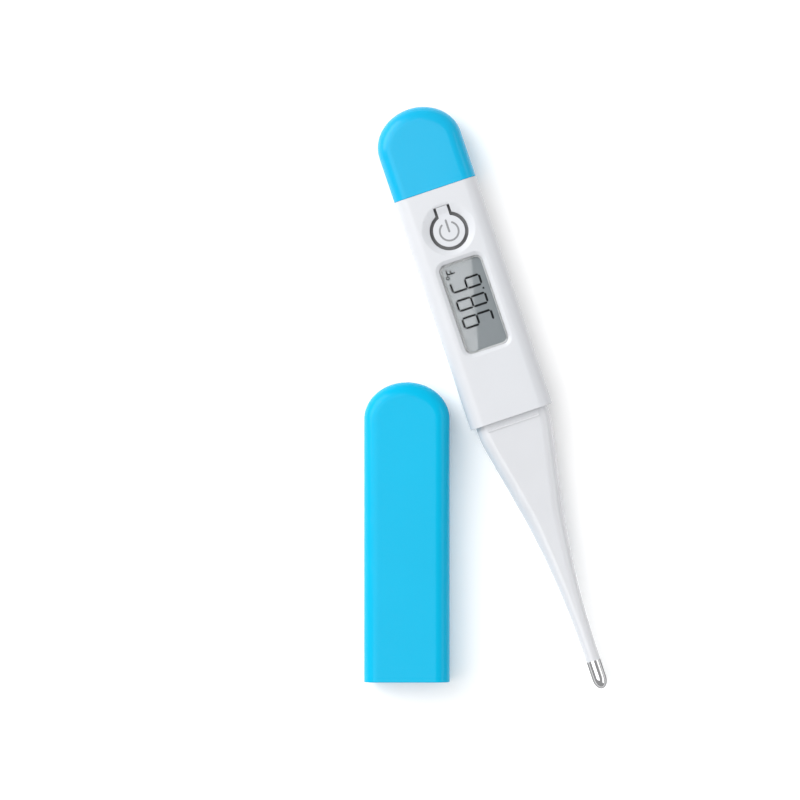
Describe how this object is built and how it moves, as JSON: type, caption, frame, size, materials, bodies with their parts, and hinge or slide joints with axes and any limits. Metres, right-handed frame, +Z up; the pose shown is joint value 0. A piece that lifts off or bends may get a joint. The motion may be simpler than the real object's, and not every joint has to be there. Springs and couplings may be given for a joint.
{
  "type": "digital thermometer",
  "caption": "Slim clinical thermometer with a display, tongue button, pull-off battery cover, tapered probe with a steel tip, and a loose storage cap.",
  "frame": {"origin": "centre of the casing's flat back, on which the thermometer lies", "axes": "+X across the thermometer, +Y along it from the steel tip to the battery cover, +Z up out of the display"},
  "size_m": [0.0561, 0.1283, 0.0106],
  "materials": {
    "casing_white": "satin ABS",
    "probe_white": "polished ABS",
    "cover_blue": "satin ABS",
    "cap_blue": "polished polypropylene",
    "window_clear": "clear acrylic",
    "display_glass": "thin soda glass",
    "display_film": "grey polarising film",
    "reflector_film": "matt aluminised film",
    "tape": "pale grey foam tape",
    "silicone_dark": "matt silicone",
    "zebra_rubber": "layered conductive rubber",
    "steel_polished": "polished stainless steel",
    "screw_steel": "nickel-plated steel",
    "spring_bronze": "nickel-flashed bronze strip",
    "buzzer_brass": "rolled brass",
    "buzzer_white": "silvered piezo ceramic",
    "board_green": "solder mask over glass epoxy",
    "chip_black": "black epoxy",
    "component_tan": "sintered ceramic",
    "plunger_red": "moulded nylon",
    "frame_grey": "moulded ABS",
    "solder": "bright solder",
    "wire_cover": "enamel and thin PVC",
    "bead_glass": "glass-coated thermistor",
    "epoxy": "heat-conducting epoxy"
  },
  "bodies": {
    "thermometer": {"casing": "casing_white", "window_lens": "window_clear", "probe": "probe_white", "steel_tip": "steel_polished", "battery_tray": "frame_grey", "battery_cell": "screw_steel", "window_adhesive": "tape", "button_gasket": "silicone_dark", "switch_body": "chip_black", "lcd_polariser": "display_film", "lcd_front_glass": "display_glass", "lcd_rear_glass": "display_glass", "lcd_reflector": "reflector_film", "lcd_frame": "frame_grey", "zebra_connectors": "zebra_rubber", "frame_screws": "screw_steel", "circuit_board": "board_green", "driver_chip": "chip_black", "chip_components": "component_tan", "buzzer_adhesive": "tape", "buzzer_plate": "buzzer_brass", "buzzer_ceramic": "buzzer_white", "buzzer_leads": "wire_cover", "battery_contact_negative": "spring_bronze", "battery_contact_positive": "spring_bronze", "thermistor_bead": "bead_glass", "thermistor_leads": "wire_cover", "solder_joints": "solder", "tip_epoxy": "epoxy"},
    "button": {"power_button": "casing_white"},
    "plunger": {"switch_plunger": "plunger_red"},
    "battery_cover": {"battery_cover": "cover_blue", "cover_seal": "silicone_dark"},
    "storage_cap": {"storage_cap": "cap_blue"}
  },
  "joints": [
    {"name": "button_press", "type": "hinge", "parent": "thermometer", "child": "button", "pos_m": [0, 0.02129, 0.01], "axis": [1, 0, 0], "range_deg": [0, 3], "stiffness_Nm_per_rad": 0.15},
    {"name": "plunger_press", "type": "slide", "parent": "thermometer", "child": "plunger", "axis": [0, 0, -1], "range_m": [0, 0.00032]},
    {"name": "cover_pull", "type": "slide", "parent": "thermometer", "child": "battery_cover", "axis": [0, 1, 0], "range_m": [0, 0.02]},
    {"name": "cap_pull", "type": "slide", "parent": "thermometer", "child": "storage_cap", "axis": [-0.319, -0.9478, 0], "range_m": [0, 0.061]}
  ],
  "couplings": [
    {"joint": "plunger_press", "follows": "button_press", "m_per_rad": 0.0059}
  ]
}
